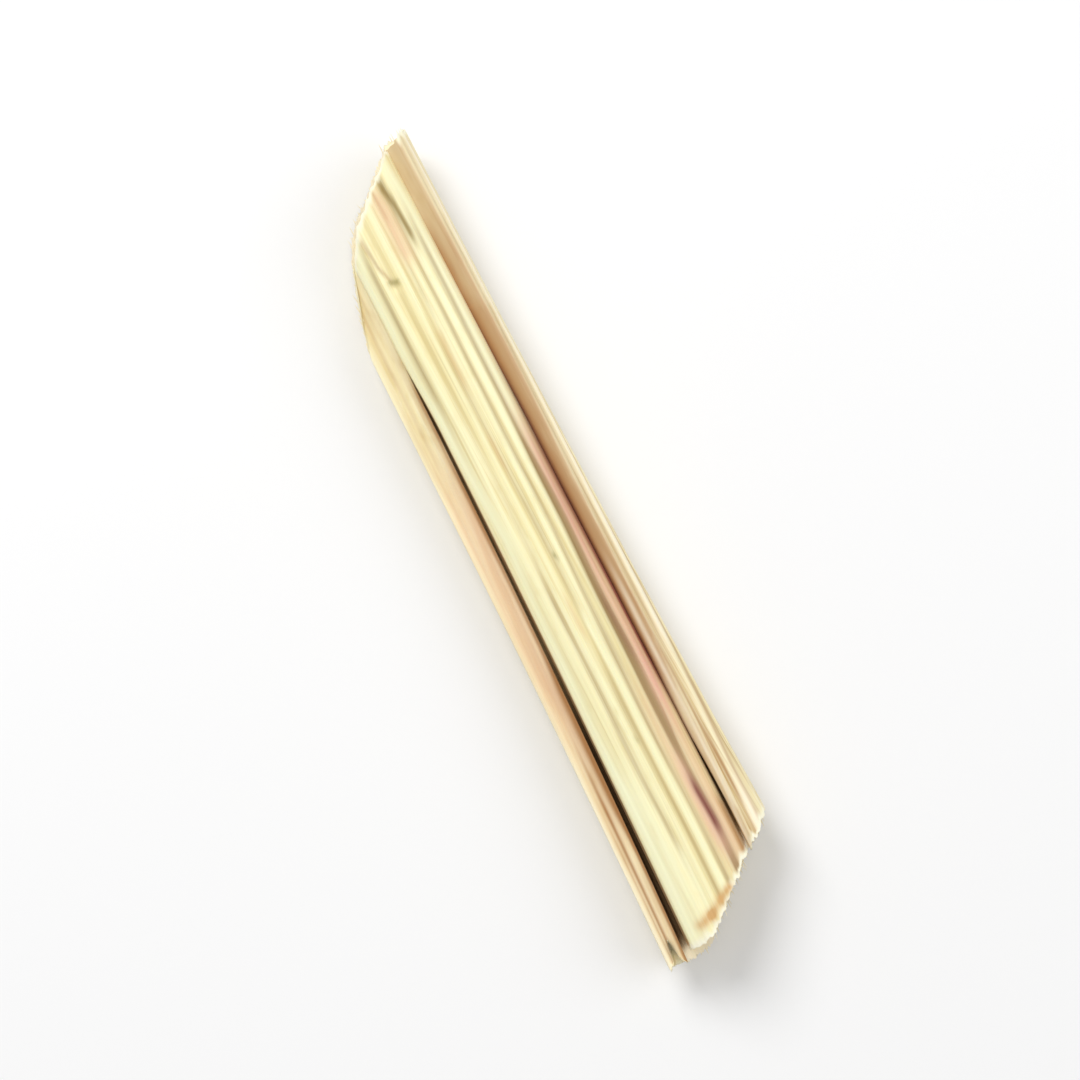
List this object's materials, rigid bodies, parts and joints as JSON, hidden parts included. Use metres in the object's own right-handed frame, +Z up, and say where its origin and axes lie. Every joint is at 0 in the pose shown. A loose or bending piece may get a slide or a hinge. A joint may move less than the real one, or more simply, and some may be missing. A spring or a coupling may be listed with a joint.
{
  "type": "lemongrass stalk",
  "caption": "Short slanting slice of a dried lemongrass stalk: a ribbed, trough-shaped outer leaf sheath with a torn edge, and a ribbed inner sheath lying in it.",
  "frame": {"origin": "on the surface that the slice lies on, under the middle of its bounding box", "axes": "+X along the stalk to the pointed end of the slice, +Y to the torn edge of the outer sheath, +Z up"},
  "size_m": [0.026, 0.0046, 0.0026],
  "materials": {
    "outer_leaf": "dry leaf sheath, tan at its margin and pinkish tan along its torn edge, dull with a slight sheen on the ribs",
    "inner_leaf": "dry leaf sheath, pale cream with a salmon pink flush along one side, dull with a slight sheen on the ribs"
  },
  "bodies": {
    "root": {"outer_sheath": "outer_leaf", "inner_sheath": "inner_leaf"}
  },
  "joints": []
}
